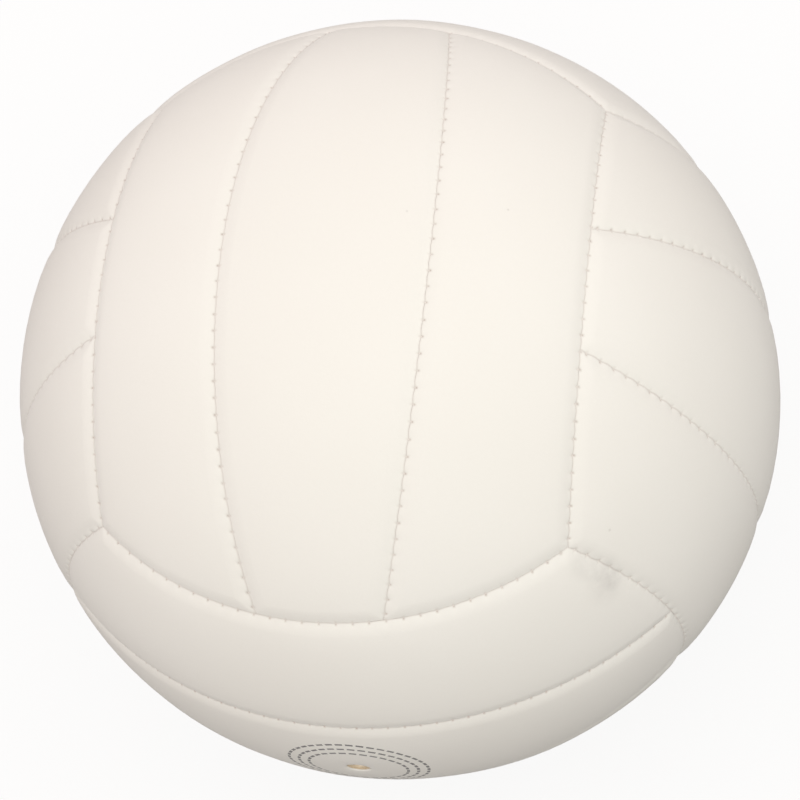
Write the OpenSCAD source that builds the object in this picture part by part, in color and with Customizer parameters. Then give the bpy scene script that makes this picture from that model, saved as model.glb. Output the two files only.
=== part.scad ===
// Indoor volleyball with eighteen stitched panels
//
// The ball's centre is the origin. Each of the six faces of a cube gives one
// face of the ball, cut into three strips that run from one edge to the other.
// +Z is the top face, -Y the front face, whose middle strip holds the valve.
// Every panel is a laminate of a cover, a foam sheet and a lining cloth.

/* [Ball] */
// Outside diameter of the ball, blown up
ball_d = 210; // [190:1:230]

/* [Panel layout] */
// Width of a middle strip halfway along it, measured over the curve
strip_w = 53.7; // [44:0.1:62]
// How far a strip's end bows out past the cube's edge, over the curve
seam_bow = 15; // [8:0.5:18]

/* [Laminate] */
// Thickness of the cover, a soft synthetic leather
cover_t = 0.8; // [0.5:0.1:1.2]
// Thickness of the foam sheet behind the cover
foam_t = 2.5; // [1.5:0.1:4]
// Thickness of the lining cloth behind the foam
lining_t = 0.4; // [0.2:0.1:0.8]
// Film of glue between two layers of the laminate
glue_t = 0.1; // [0.05:0.01:0.2]

/* [Seams] */
// Depth of the groove where two panels meet
groove_depth = 1.3; // [0.8:0.1:1.8]
// Distance over which each panel rolls down into the groove
groove_w = 3.4; // [2.5:0.1:5]
// Space between the turned-in edges of two panels
seam_gap = 0.1; // [0.05:0.01:0.3]
// Diameter of the sewing thread that shows in the groove
thread_d = 0.6; // [0.4:0.1:0.8]
// Length of seam left bare of thread at each junction
thread_stop = 1.6; // [1:0.1:4]

/* [Bladder] */
// Wall of the rubber bladder
bladder_t = 0.5; // [0.4:0.1:1]
// Space between the lining and the bladder
bladder_gap = 0.3; // [0.1:0.05:0.6]

/* [Valve] */
// Diameter of the valve's neck, which shows in its hole
neck_d = 6; // [5:0.1:8]
// Distance from the ball's surface down to the neck's rim
neck_recess = 0.5; // [0.2:0.1:1]
// Clearance round the neck in the cover, foam and bladder
neck_clear = 0.2; // [0.1:0.05:0.5]
// Diameter of the valve's flange inside the bladder
flange_d = 30; // [20:1:40]
// Thickness of the flange
flange_t = 1.2; // [0.8:0.1:2]
// Diameter of the valve's stem inside the bladder
stem_d = 8.4; // [7:0.1:11]
// Length of the stem below the flange
stem_len = 11; // [8:0.5:16]
// Diameter of the rubber core that plugs the neck and the stem
core_d = 4.4; // [3.8:0.1:5]
// Distance from the neck's rim down to the core's face
core_recess = 0.3; // [0.1:0.1:0.8]
// Clearance between the core and the neck
core_clear = 0.05; // [0.02:0.01:0.1]
// Diameter of the bore that takes the inflating needle
needle_d = 2.3; // [2:0.1:2.6]
// Diameter of the bore's funnel at the core's face
funnel_d = 3.2; // [2.8:0.1:3.6]
// Depth of the funnel
funnel_h = 0.7; // [0.4:0.1:1.2]
// Diameter of the core's foot, which keeps it in the stem
foot_d = 6.4; // [5.6:0.1:8]
// Thickness of the foot
foot_t = 1.2; // [0.8:0.1:2]
// Length of the closed tip below the foot
tip_len = 3; // [2:0.1:5]
// Width of the slit in the tip
slit_w = 0.3; // [0.2:0.05:0.5]
// Diameter of the patch that ties the bladder to the panel
patch_d = 24; // [16:0.5:32]

/* [Hidden] */
$fa = 2;
$fs = 0.4;

// Overrun of every cut past the face that it cuts
over = 1;

ball_r = ball_d / 2;
function arc_a(len) = len / ball_r * 180 / PI;

// Radii of the layers, from outside to inside
foam_r = ball_r - cover_t - glue_t;
foam_in_r = foam_r - foam_t;
lining_r = foam_in_r - glue_t;
lining_in_r = lining_r - lining_t;
bladder_r = lining_in_r - bladder_gap;
bladder_in_r = bladder_r - bladder_t;

// Seam between two faces: a circle through two corners of the cube and the
// bowed middle of the edge, given by its axis and its angle from that axis
corner_share = 1 / sqrt(3);
edge_mid_a = 45 - arc_a(seam_bow);
edge_tilt = atan2(sin(edge_mid_a) - corner_share, cos(edge_mid_a) - corner_share);
edge_polar = 90 - edge_mid_a + edge_tilt;
edge_half_a = asin(corner_share / sin(edge_polar));

// Seam inside a face: half a great circle that leans by strip_a to each side
strip_a = arc_a(strip_w) / 2;
strip_reach = norm([cos(strip_a) * cos(edge_tilt), sin(edge_tilt)]);
strip_lean = atan2(sin(edge_tilt), cos(strip_a) * cos(edge_tilt));
strip_half_a = acos(cos(edge_polar) / strip_reach) - strip_lean;

// Seams, each as its turn about Z, the tilt of its axis about X, its angle from
// that axis, and 1 where the panel lies nearer to the axis, or else -1
FRONT_END = [0, -edge_tilt, edge_polar, 1];
BACK_END = [180, -edge_tilt, edge_polar, 1];
MIDDLE_SEAMS = [
    [-90, strip_a - 90, 90, 1],
    [90, strip_a - 90, 90, 1],
    FRONT_END,
    BACK_END
];
SIDE_SEAMS = [
    [90, strip_a - 90, 90, -1],
    [90, edge_tilt - 90, 180 - edge_polar, 1],
    FRONT_END,
    BACK_END
];
// How far a cut reaches past its seam, and a blank past its panel
spare_a = 30;
margin_a = 3;

// Rounded edge of a panel: the arc that rolls down groove_depth in groove_w
edge_r = (pow(groove_w, 2) + pow(groove_depth, 2)) / (2 * groove_depth);
groove_a = arc_a(groove_w);
// The arc's crest stands this much over the ball, so that it meets the
// ball's surface at a clear angle
crest_share = 0.006;
roll_r = ball_r - edge_r * (1 - crest_share);

// Sewing thread, which lies in the groove clear of both rounded edges
thread_clear = 0.05;
thread_reach = edge_r + (thread_d / 2 + thread_clear);
thread_rise = sqrt(pow(thread_reach, 2) - pow(roll_r * sin(groove_a), 2));
thread_r = roll_r * cos(groove_a) + thread_rise;

// Valve, measured along its axis from the ball's centre
hole_d = neck_d + 2 * neck_clear;
rim_z = ball_r - neck_recess;
core_z = rim_z - core_recess;
flange_r = bladder_in_r - glue_t;
stem_z = flange_r - flange_t - stem_len;
foot_z = stem_z - core_clear;
tip_z = foot_z - foot_t - tip_len;
needle_z = foot_z - foot_t;
tip_d = needle_d + foot_t;

// The six faces, each as its name, a number of third turns about the cube's
// corner axis, and whether it lies on the far side
FACES = [
    ["top", 0, 0],
    ["bottom", 0, 1],
    ["right", 1, 0],
    ["left", 1, 1],
    ["back", 2, 0],
    ["front", 2, 1]
];
// Names of the strips on the first, second and third pair of faces
STRIPS = [
    ["left", "middle", "right"],
    ["front", "middle", "back"],
    ["lower", "middle", "upper"]
];
// Every panel as its name, its face and its strip: -1, 0 or 1
PANELS = [for (face = FACES) for (strip = [-1:1])
    [str(face[0], "_", STRIPS[face[1]][strip + 1]), face, strip]];
VALVE_PANEL = "front_middle";
PARTS = ["bladder", "valve_housing", "valve_core", "valve_patch", "seam_thread"];
LAYERS = ["cover", "foam", "lining"];

// Turns what is built on +Z to its face of the ball
module on_face(face) {
    rotate(120 * face[1], [1, 1, 1])
        rotate([180 * face[2], 0, 0])
            children();
}

// Half of a ring about +Z, swept from a section on the panel's side of a seam
module on_seam(seam) {
    rotate([0, 0, seam[0]])
        rotate([seam[1], 0, 0])
            rotate([0, 0, -180])
                rotate_extrude(angle = 180)
                    children();
}

// Point at distance r from the centre along a seam, moved off into the panel
function seam_pt(seam, r, off) =
    r * [sin(seam[2]), cos(seam[2])] + off * seam[3] * [-cos(seam[2]), sin(seam[2])];

// Point at distance r from the centre, turn degrees from a seam into the panel
function turned_pt(seam, r, turn) =
    r * [sin(seam[2] - seam[3] * turn), cos(seam[2] - seam[3] * turn)];

// Section of all that lies beyond a seam
module beyond_seam(seam, inset) {
    polygon([
        seam_pt(seam, ball_r / 2, inset),
        seam_pt(seam, ball_r * 2, inset),
        turned_pt(seam, ball_r * 2, -spare_a),
        turned_pt(seam, ball_r / 2, -spare_a)
    ]);
}

// Section of the corner that a panel's rounded edge leaves open
module edge_corner(seam, round_r) {
    difference() {
        polygon([
            turned_pt(seam, roll_r, groove_a),
            turned_pt(seam, ball_r + edge_r, groove_a),
            seam_pt(seam, ball_r + edge_r, -over),
            seam_pt(seam, roll_r, -over)
        ]);
        translate(turned_pt(seam, roll_r, groove_a))
            circle(r = round_r);
    }
}

// Cuts a solid at its seams, one after the other
module cut_at(seams, inset, count = 4) {
    if (count == 0)
        children();
    else
        difference() {
            cut_at(seams, inset, count - 1) children();
            on_seam(seams[count - 1])
                beyond_seam(seams[count - 1], inset);
        }
}

// Rounds a solid's outer edges at its seams, one after the other
module round_at(seams, round_r, count = 4) {
    if (count == 0 || round_r == 0)
        children();
    else
        difference() {
            round_at(seams, round_r, count - 1) children();
            on_seam(seams[count - 1])
                edge_corner(seams[count - 1], round_r);
        }
}

// Part of the shell between two radii, turned about Y from one angle off +Z to
// another, and as long as a strip with some to spare
module shell_wedge(from_a, to_a, outer_r, inner_r) {
    reach_a = 90 - edge_mid_a + margin_a;
    rotate([-90, 0, 0])
        rotate([0, 0, from_a - margin_a - 90])
            rotate_extrude(angle = to_a - from_a + 2 * margin_a)
                intersection() {
                    difference() {
                        circle(r = outer_r);
                        circle(r = inner_r);
                    }
                    polygon([
                        [0, 0],
                        2 * ball_r * [cos(reach_a), -sin(reach_a)],
                        2 * ball_r * [cos(reach_a), sin(reach_a)]
                    ]);
                }
}

// One strip of the face on +Z between two radii, its edges inset from the seams
module strip_shell(strip, outer_r, inner_r, inset, round_r) {
    rotate([0, 0, strip < 0 ? 180 : 0])
        round_at(strip == 0 ? MIDDLE_SEAMS : SIDE_SEAMS, round_r)
            cut_at(strip == 0 ? MIDDLE_SEAMS : SIDE_SEAMS, inset)
                shell_wedge(
                    strip == 0 ? -strip_a : strip_a,
                    strip == 0 ? strip_a : 45,
                    outer_r, inner_r
                );
}

// Hole through the middle of the face on +Z
module valve_hole(d) {
    translate([0, 0, ball_r / 2])
        cylinder(d = d, h = ball_r);
}

// Cover: a skin with its edges turned in along the seams as deep as the lining
module cover(panel) {
    color("floralwhite")
        on_face(panel[1])
            difference() {
                strip_shell(panel[2], ball_r, lining_in_r, seam_gap / 2, edge_r);
                strip_shell(panel[2], ball_r - cover_t, lining_in_r - over,
                    seam_gap / 2 + cover_t, edge_r - cover_t);
                if (panel[0] == VALVE_PANEL)
                    valve_hole(hole_d);
            }
}

// Foam sheet that fills the cover's tray
module foam(panel) {
    color("gainsboro")
        on_face(panel[1])
            difference() {
                strip_shell(panel[2], foam_r, foam_in_r,
                    seam_gap / 2 + cover_t + glue_t, edge_r - cover_t - glue_t);
                if (panel[0] == VALVE_PANEL)
                    valve_hole(hole_d);
            }
}

// Lining cloth glued behind the foam
module lining(panel) {
    color("lightsteelblue")
        on_face(panel[1])
            difference() {
                strip_shell(panel[2], lining_r, lining_in_r,
                    seam_gap / 2 + cover_t + glue_t, 0);
                if (panel[0] == VALVE_PANEL)
                    valve_hole(patch_d + 2 * glue_t);
            }
}

// Turns what is built on +Z to the valve's place on the front face
module on_valve() {
    on_face(FACES[5])
        children();
}

module bladder() {
    color("dimgray")
        on_valve()
            difference() {
                sphere(r = bladder_r);
                sphere(r = bladder_in_r);
                valve_hole(hole_d);
            }
}

// Rubber housing: a dished flange under the bladder's wall, with a neck that
// reaches out to the cover and a stem that hangs inside
module valve_housing() {
    color("burlywood")
        on_valve()
            difference() {
                union() {
                    intersection() {
                        difference() {
                            sphere(r = flange_r);
                            sphere(r = flange_r - flange_t);
                        }
                        valve_hole(flange_d);
                    }
                    translate([0, 0, flange_r - flange_t])
                        cylinder(d = neck_d, h = rim_z - flange_r + flange_t);
                    translate([0, 0, stem_z])
                        cylinder(d = stem_d, h = flange_r - flange_t / 2 - stem_z);
                }
                translate([0, 0, stem_z - over])
                    cylinder(d = core_d + 2 * core_clear, h = ball_r);
            }
}

// Rubber core: a plug with a needle bore, a foot below the stem, and a tip
// that is closed but for a slit
module valve_core() {
    color("tan")
        on_valve()
            difference() {
                rotate_extrude()
                    polygon([
                        [0, tip_z],
                        [tip_d / 2, tip_z],
                        [foot_d / 2, needle_z],
                        [foot_d / 2, foot_z],
                        [core_d / 2, foot_z],
                        [core_d / 2, core_z],
                        [0, core_z]
                    ]);
                translate([0, 0, needle_z])
                    cylinder(d = needle_d, h = core_z - needle_z + over);
                translate([0, 0, core_z - funnel_h])
                    cylinder(d1 = needle_d, d2 = funnel_d, h = funnel_h);
                translate([-needle_d / 2, -slit_w / 2, tip_z - over])
                    cube([needle_d, slit_w, needle_z - tip_z + 2 * over]);
            }
}

// Cloth patch let into the lining round the valve
module valve_patch() {
    color("slategray")
        on_valve()
            difference() {
                intersection() {
                    difference() {
                        sphere(r = lining_r);
                        sphere(r = lining_in_r);
                    }
                    valve_hole(patch_d);
                }
                valve_hole(hole_d);
            }
}

// Arc of thread along a seam, half_a to each side of the middle
module thread_arc(seam, half_a) {
    arc_r = thread_r * sin(seam[2]);
    span = 2 * (half_a - thread_stop / arc_r * 180 / PI);
    rotate([0, 0, seam[0]])
        rotate([seam[1], 0, 0])
            rotate([0, 0, -90 - span / 2])
                rotate_extrude(angle = span)
                    translate([arc_r, thread_r * cos(seam[2])])
                        circle(d = thread_d);
}

module seam_thread() {
    color("whitesmoke")
        for (face = FACES)
            on_face(face) {
                for (seam = [FRONT_END, BACK_END])
                    thread_arc(seam, edge_half_a);
                for (seam = [MIDDLE_SEAMS[0], MIDDLE_SEAMS[1]])
                    thread_arc(seam, strip_half_a);
            }
}

for (panel = PANELS) {
    cover(panel);
    foam(panel);
    lining(panel);
}
bladder();
valve_housing();
valve_core();
valve_patch();
seam_thread();
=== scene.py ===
# %% [markdown]
# # A sewn volleyball, panel by panel
#
# An indoor volleyball is a rubber bladder inside eighteen soft panels. The
# panels are sewn together inside out and the ball is turned through its last
# open seam, so from outside the stitches show only as short bars of thread at
# the bottom of each seam.
#
# The CAD model is loaded first. It gives the size, the layers inside and the
# place of every piece. What follows makes the surface that one sees and
# touches: the puffed panels, their sewn lips, the thread and the finishes.

# %% The CAD frame
import math
import bmesh
import bpy
import numpy as np
from mathutils import Matrix, Vector


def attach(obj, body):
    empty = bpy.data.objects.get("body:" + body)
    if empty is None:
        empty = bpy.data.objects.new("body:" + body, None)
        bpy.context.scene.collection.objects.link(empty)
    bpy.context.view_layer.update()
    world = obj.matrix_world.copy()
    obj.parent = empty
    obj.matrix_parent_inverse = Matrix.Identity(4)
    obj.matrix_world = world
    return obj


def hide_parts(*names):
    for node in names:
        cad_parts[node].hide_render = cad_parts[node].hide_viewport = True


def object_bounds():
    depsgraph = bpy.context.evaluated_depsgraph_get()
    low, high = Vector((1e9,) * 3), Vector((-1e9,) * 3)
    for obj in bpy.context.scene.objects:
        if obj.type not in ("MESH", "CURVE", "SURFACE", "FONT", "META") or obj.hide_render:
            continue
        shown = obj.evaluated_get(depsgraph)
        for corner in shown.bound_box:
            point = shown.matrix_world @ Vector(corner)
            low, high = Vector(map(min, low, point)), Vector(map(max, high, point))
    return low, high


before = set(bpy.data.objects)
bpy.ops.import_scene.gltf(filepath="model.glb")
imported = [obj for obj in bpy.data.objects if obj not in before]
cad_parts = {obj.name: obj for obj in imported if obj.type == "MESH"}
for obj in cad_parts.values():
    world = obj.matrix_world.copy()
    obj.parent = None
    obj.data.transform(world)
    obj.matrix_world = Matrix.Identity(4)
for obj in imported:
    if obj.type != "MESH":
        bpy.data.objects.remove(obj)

cad_box = [list(corner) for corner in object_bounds()]
MM = 0.001
NEAR = 1e-6                # two places nearer than this are the same place
BALL_R = cad_box[1][2]
print("CAD nodes:", len(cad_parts), "ball radius in mm:", round(BALL_R / MM, 3))

# %% [markdown]
# ## Where the seams run
#
# Every seam of this ball is a circle on the sphere, so a plane through the
# ball describes it: an axis, and the angle from that axis at which the seam
# runs. The panel lies nearer to the axis. That could be drawn by hand as
# curves, but with planes any point's distance from a seam is one line of
# arithmetic, and the lips, the stitches and the painted shade all need that distance.
#
# One face of the ball has three strips. Its middle strip lies between two
# great circles through the same two poles. Its ends bow out over the
# neighbouring faces, and the outer strips give way to the neighbours' ends.

# %% Seams of the face on +Z
STRIP_W = 53.7 * MM        # width of a middle strip, over the curve
SEAM_BOW = 15 * MM         # how far a strip's end bows out past the cube's edge
CORNER = 1 / math.sqrt(3)  # each coordinate of the point where three faces meet

strip_a = STRIP_W / BALL_R / 2
edge_mid_a = math.radians(45) - SEAM_BOW / BALL_R
edge_tilt = math.atan2(math.sin(edge_mid_a) - CORNER, math.cos(edge_mid_a) - CORNER)
edge_angle = math.pi / 2 - edge_mid_a + edge_tilt
end_mid = math.pi / 2 - edge_mid_a


def unit(v):
    v = np.asarray(v, dtype=float)
    return v / np.linalg.norm(v)


def make_seam(axis, angle, middle, kind, sway):
    """A seam by its axis and angle; sway is 1 where the lips lean into this panel at each stitch."""
    axis = unit(axis)
    middle = np.asarray(middle, dtype=float)
    middle = unit(middle - middle.dot(axis) * axis)
    return {"axis": axis, "angle": angle, "middle": middle, "along": np.cross(axis, middle),
            "kind": kind, "sway": sway}


def strip_seam(a, side, sway):
    """The seam between two strips, at angle a off +Z; its panel lies on the side of +X or -X."""
    return make_seam((side * math.cos(a), 0, -side * math.sin(a)), math.pi / 2,
                     (math.sin(a), 0, math.cos(a)), "strip", sway)


def end_seam(side):
    """The seam at a strip's end, on the side of +Y or -Y."""
    return make_seam((0, -side * math.sin(edge_tilt), math.cos(edge_tilt)), edge_angle,
                     (0, side * math.sin(end_mid), math.cos(end_mid)), "edge", -1)


outer_seam = make_seam((-math.cos(edge_tilt), 0, math.sin(edge_tilt)), math.pi - edge_angle,
                       (math.sin(edge_mid_a), 0, math.cos(edge_mid_a)), "edge", 1)
MIDDLE_SEAMS = (strip_seam(-strip_a, 1, -1), strip_seam(strip_a, -1, -1))
SIDE_SEAMS = (strip_seam(strip_a, 1, 1), outer_seam)
END_SEAMS = (end_seam(-1), end_seam(1))
print("seam angles in degrees:", round(math.degrees(strip_a), 2), round(math.degrees(edge_angle), 2))

# %% Length of the two kinds of seam, and their stitches
reach = math.hypot(math.cos(strip_a) * math.cos(edge_tilt), math.sin(edge_tilt))
lean = math.atan2(math.sin(edge_tilt), math.cos(strip_a) * math.cos(edge_tilt))
strip_half = math.acos(math.cos(edge_angle) / reach) - lean
edge_half = math.asin(CORNER / math.sin(edge_angle))
SEAM_LEN = {"strip": 2 * BALL_R * strip_half, "edge": 2 * BALL_R * math.sin(edge_angle) * edge_half}
STITCHES = {"strip": 45, "edge": 31}
PITCH = {kind: SEAM_LEN[kind] / STITCHES[kind] for kind in SEAM_LEN}
for kind in SEAM_LEN:
    print(kind, "seam:", round(SEAM_LEN[kind] / MM, 1), "mm,", STITCHES[kind], "stitches",
          round(PITCH[kind] / MM, 2), "mm apart")

# %% How uneven the hand's stitches are
STITCH_SHIFT = 0.13 * MM   # most that a stitch lies off its even place
STITCH_PULL = 0.22         # most that it pulls harder or less hard, as a share
STITCH_SKEW = 9            # most that its bar of thread is turned, in degrees
LIP_SWAY = 0.09 * MM       # how far the line between two lips leans at a stitch
rng = np.random.default_rng(18)
# A seam is the same read from either end, so one strip can be copied all round
UNEVEN = {kind: rng.uniform(-1, 1, (3, STITCHES[kind] // 2 + 1)) for kind in SEAM_LEN}


def stitch_at(kind, k):
    """Place along the seam, strength, and turn in degrees of the stitches with the numbers k."""
    mid = k - (STITCHES[kind] - 1) / 2
    half, side = np.abs(mid).astype(int), np.sign(mid)
    shift, strength, skew = UNEVEN[kind]
    place = mid * PITCH[kind] + side * shift[half] * STITCH_SHIFT
    return place, 1 + STITCH_PULL * strength[half], STITCH_SKEW * skew[half] * side


def nearest_stitch(kind, s):
    """Distance along the seam to the nearest stitch, and that stitch's strength."""
    k = np.clip(np.floor(s / PITCH[kind] + STITCHES[kind] / 2), 0, STITCHES[kind] - 1)
    place, strength, _ = stitch_at(kind, k)
    return s - place, strength


def lip_sway(kind, s):
    """How far the line between two lips leans at s: out at each stitch, back between them."""
    off, strength = nearest_stitch(kind, s)
    return LIP_SWAY * strength * np.cos(2 * math.pi * off / PITCH[kind])


def along_seam(seam, p):
    return BALL_R * math.sin(seam["angle"]) * np.arctan2(p @ seam["along"], p @ seam["middle"])


def from_seam(seam, p):
    return BALL_R * (seam["angle"] - np.arccos(np.clip(p @ seam["axis"], -1, 1)))


print("stitches lie up to", round(STITCH_SHIFT / MM, 2), "mm off their even places")

# %% [markdown]
# ## The flat blank of a panel
#
# A panel is cut from flat sheet before it is sewn, and it is easiest to model
# that way too: a flat tray with its edges turned down, which is then laid over
# the ball. A grid makes the sheet. Its border is extruded outwards for the rim
# that will roll into the seam, and down for the part that the needle goes
# through. Solidify gives the skin its thickness.
#
# Only the rim needs fine faces, because the stitches are there. So it is
# subdivided on its own, after Solidify. A finer grid all over would give the
# same picture with ten times the faces.

# %% Sizes of the blank
BLANK_LEN = 2 * BALL_R * end_mid
RIM = 4.2 * MM             # width of the finely divided rim
SKIN = 0.8 * MM            # thickness of the cover
SEAM_GAP = 0.03 * MM       # between two turned-in edges
WALL_STEPS = [2.4 * MM, 3.9 * MM]   # depths of the turned-in edge
MIDDLE_CELLS, SIDE_CELLS, LONG_CELLS = 9, 12, 45    # across the two kinds of strip, and along them
RINGS = 14                 # of faces in the rim
FINE_RINGS = 13            # of them, counted from the seam, with short faces
FINE = 18                  # short faces to one cell


def show_only(obj):
    """Leaves one object selected and active."""
    if bpy.context.object and bpy.context.object.mode != "OBJECT":
        bpy.ops.object.mode_set(mode="OBJECT")
    bpy.ops.object.select_all(action="DESELECT")
    obj.select_set(True)
    bpy.context.view_layer.objects.active = obj


def pick(obj, kind, rule):
    """In edit mode, selects the edges or faces whose corners pass a rule."""
    bpy.ops.mesh.select_mode(type=kind)
    bpy.ops.mesh.select_all(action="DESELECT")
    bm = bmesh.from_edit_mesh(obj.data)
    for item in bm.edges if kind == "EDGE" else bm.faces:
        if rule([v.co for v in item.verts]):
            item.select_set(True)
    bm.select_flush_mode()
    bmesh.update_edit_mesh(obj.data)


def flat_sheet(name, width, cells):
    """A flat grid with one row of larger faces round it for the rim."""
    bpy.ops.object.select_all(action="DESELECT")
    bpy.ops.mesh.primitive_grid_add(x_subdivisions=cells, y_subdivisions=LONG_CELLS, size=1)
    sheet = bpy.context.object
    sheet.name = sheet.data.name = name
    sheet["width"] = width
    inner = (width - 2 * RIM, BLANK_LEN - 2 * RIM)
    bpy.ops.object.mode_set(mode="EDIT")
    bpy.ops.mesh.select_all(action="SELECT")
    bpy.ops.transform.resize(value=(inner[0], inner[1], 1))
    bpy.ops.mesh.select_mode(type="EDGE")
    bpy.ops.mesh.select_all(action="DESELECT")
    bpy.ops.mesh.select_non_manifold()
    bpy.ops.mesh.extrude_edges_move(TRANSFORM_OT_translate={"value": (0, 0, 0)})
    bpy.ops.transform.resize(value=(width / inner[0], BLANK_LEN / inner[1], 1),
                             center_override=(0, 0, 0))
    return sheet


def turn_edges_down(sheet):
    """Extrudes the border of the sheet down in two steps."""
    half = (sheet["width"] / 2, BLANK_LEN / 2)
    pick(sheet, "EDGE", lambda cs: any(all(abs(abs(c[k]) - half[k]) < NEAR for c in cs) for k in (0, 1)))
    depth = 0
    for step in WALL_STEPS:
        bpy.ops.mesh.extrude_edges_move(TRANSFORM_OT_translate={"value": (0, 0, depth - step)})
        depth = step
    bpy.ops.object.mode_set(mode="OBJECT")


def give_thickness(sheet):
    """Solidify, applied: the skin's inner side lies a skin's thickness inside the tray."""
    show_only(sheet)
    wall = sheet.modifiers.new("skin", "SOLIDIFY")
    wall.thickness = SKIN
    wall.offset = -1
    wall.use_even_offset = True
    bpy.ops.object.modifier_apply(modifier=wall.name)


def divide_rim(sheet):
    """Cuts the rim of the outer side into rings, and the outermost rings into short faces."""
    half = (sheet["width"] / 2, BLANK_LEN / 2)

    def inset(c):
        return min(half[0] - abs(c.x), half[1] - abs(c.y))

    def on_outside(corners):
        return all(abs(c.z) < NEAR for c in corners)

    show_only(sheet)
    bpy.ops.object.mode_set(mode="EDIT")
    pick(sheet, "EDGE", lambda cs: on_outside(cs) and abs(abs(inset(cs[0]) - inset(cs[1])) - RIM) < NEAR)
    bpy.ops.mesh.subdivide(number_cuts=RINGS - 1)
    last = RIM * (FINE_RINGS + 0.5) / RINGS
    pick(sheet, "EDGE", lambda cs: on_outside(cs) and abs(inset(cs[0]) - inset(cs[1])) < NEAR
         and inset(cs[0]) < last)
    bpy.ops.mesh.subdivide(number_cuts=FINE - 1)
    bpy.ops.object.mode_set(mode="OBJECT")


def make_tray(sheet):
    """Makes a flat sheet the finished blank: a tray with a thick skin and a fine rim."""
    turn_edges_down(sheet)
    give_thickness(sheet)
    divide_rim(sheet)
    print(sheet.name, "blank:", len(sheet.data.vertices), "vertices,", len(sheet.data.polygons), "faces")
    return sheet


# %% The two blanks: a middle strip and an outer strip
middle_strip = make_tray(flat_sheet("middle_strip", STRIP_W, MIDDLE_CELLS))
side_strip = make_tray(flat_sheet("side_strip", BALL_R * (edge_mid_a - strip_a), SIDE_CELLS))

# %% [markdown]
# ## The blank with the valve's hole
#
# The strip on the front has a round hole in its middle. A boolean would cut
# it, but would leave long thin faces where the leather dips and shades
# smoothly. So a few faces of the grid are deleted, and the edge of the opening
# is extruded inwards ring by ring, each rounder than the one before it.

# %% A third blank, with a round hole
VALVE_HOLE_R = 3.2 * MM
VALVE_RINGS = 14
RING_CROWDING = 1.6        # more than 1 sets the rings closer together near the hole
OPENING = 1.6              # in cells from the middle: it takes three by three cells
OPENING_CUTS = 3           # on each side of a cell, which make the circle smooth


def cut_valve_hole(sheet):
    """Opens a rectangle in the middle of the sheet and fills it with rings round a circle."""
    reach_x = OPENING * (sheet["width"] - 2 * RIM) / MIDDLE_CELLS
    reach_y = OPENING * (BLANK_LEN - 2 * RIM) / LONG_CELLS

    def in_opening(corners):
        return all(abs(c.x) < reach_x and abs(c.y) < reach_y for c in corners)

    pick(sheet, "FACE", in_opening)
    bpy.ops.mesh.delete(type="FACE")
    pick(sheet, "EDGE", in_opening)
    bpy.ops.mesh.subdivide(number_cuts=OPENING_CUTS)
    pick(sheet, "EDGE", in_opening)
    left = 1.0
    for ring in range(VALVE_RINGS):
        bpy.ops.mesh.extrude_edges_move(TRANSFORM_OT_translate={"value": (0, 0, 0)})
        new_left = (1 - (ring + 1) / VALVE_RINGS) ** RING_CROWDING
        bm = bmesh.from_edit_mesh(sheet.data)
        for v in bm.verts:
            if v.select:
                edge = v.co.normalized() * VALVE_HOLE_R
                v.co = edge + (v.co - edge) * (new_left / left)
        bmesh.update_edit_mesh(sheet.data)
        left = new_left
    print("rings round the valve:", VALVE_RINGS, "with", sum(v.select for v in bm.verts), "vertices each")
    return sheet


valve_strip = make_tray(cut_valve_hole(flat_sheet("valve_strip", STRIP_W, MIDDLE_CELLS)))

# %% [markdown]
# ## Laying a blank over the ball
#
# The rim must follow the seams exactly, and neighbouring panels must meet
# without a gap. A lattice or a shrinkwrap would only come close. Instead each
# row and column of the blank is given a plane: at the rim it is the seam's own
# plane, moved in, and between two seams it turns from one to the other. A
# vertex lies where its row's plane, its column's plane and the ball meet.

# %% From the flat blank to the sphere
RIM_CROWDING = 1.5         # more than 1 sets the rim's rings closer together near the seam


def edge_plane(seam, inset):
    """Plane parallel to a seam, inset into the panel over the curve."""
    return seam["axis"], np.cos(seam["angle"] - inset / BALL_R)


def side_axis(seam):
    """The axis along which a seam's middle lies off +Z: 0 for X, 1 for Y."""
    return 0 if abs(seam["axis"][1]) < NEAR else 1


def middle_of(seam, inset):
    """Middle of a seam, moved into the panel, as its two coordinates across and up."""
    a = seam["angle"] - (inset + SEAM_GAP / 2) / BALL_R
    p = math.cos(a) * seam["axis"] + math.sin(a) * seam["middle"]
    return p[side_axis(seam)], p[2]


def planes_between(coord, half, low, high, outer):
    """One plane for each vertex, going from the seam low to the seam high."""
    e = half - np.abs(coord)
    spread = np.where(outer, RIM * (np.clip(e, 0, RIM) / RIM) ** RIM_CROWDING, e)
    inset = np.minimum(spread, RIM) + SEAM_GAP / 2
    normal = np.zeros((len(coord), 3))
    offset = np.zeros(len(coord))
    for side, seam, sign in ((coord < 0, low, 1), (coord >= 0, high, -1)):
        n, c = edge_plane(seam, inset[side])
        normal[side] = sign * n
        offset[side] = sign * c
    mid = e > RIM + NEAR
    n_low, c_low = edge_plane(low, RIM + SEAM_GAP / 2)
    n_high, c_high = edge_plane(high, RIM + SEAM_GAP / 2)
    start = math.atan2(*middle_of(low, RIM))
    end = math.atan2(*middle_of(high, RIM))
    turn = start + (end - start) * (coord[mid] + half - RIM) / (2 * half - 2 * RIM)
    across, up = np.eye(3)[side_axis(low)], np.eye(3)[2]
    p = np.outer(np.sin(turn), across) + np.outer(np.cos(turn), up)
    f_low, f_high = p @ n_low - c_low, p @ n_high - c_high
    v = (f_low / (f_low + f_high))[:, None]
    normal[mid] = (1 - v) * n_low - v * n_high
    offset[mid] = (1 - v[:, 0]) * c_low - v[:, 0] * c_high
    size = np.linalg.norm(normal, axis=1)
    return normal / size[:, None], offset / size


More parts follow.
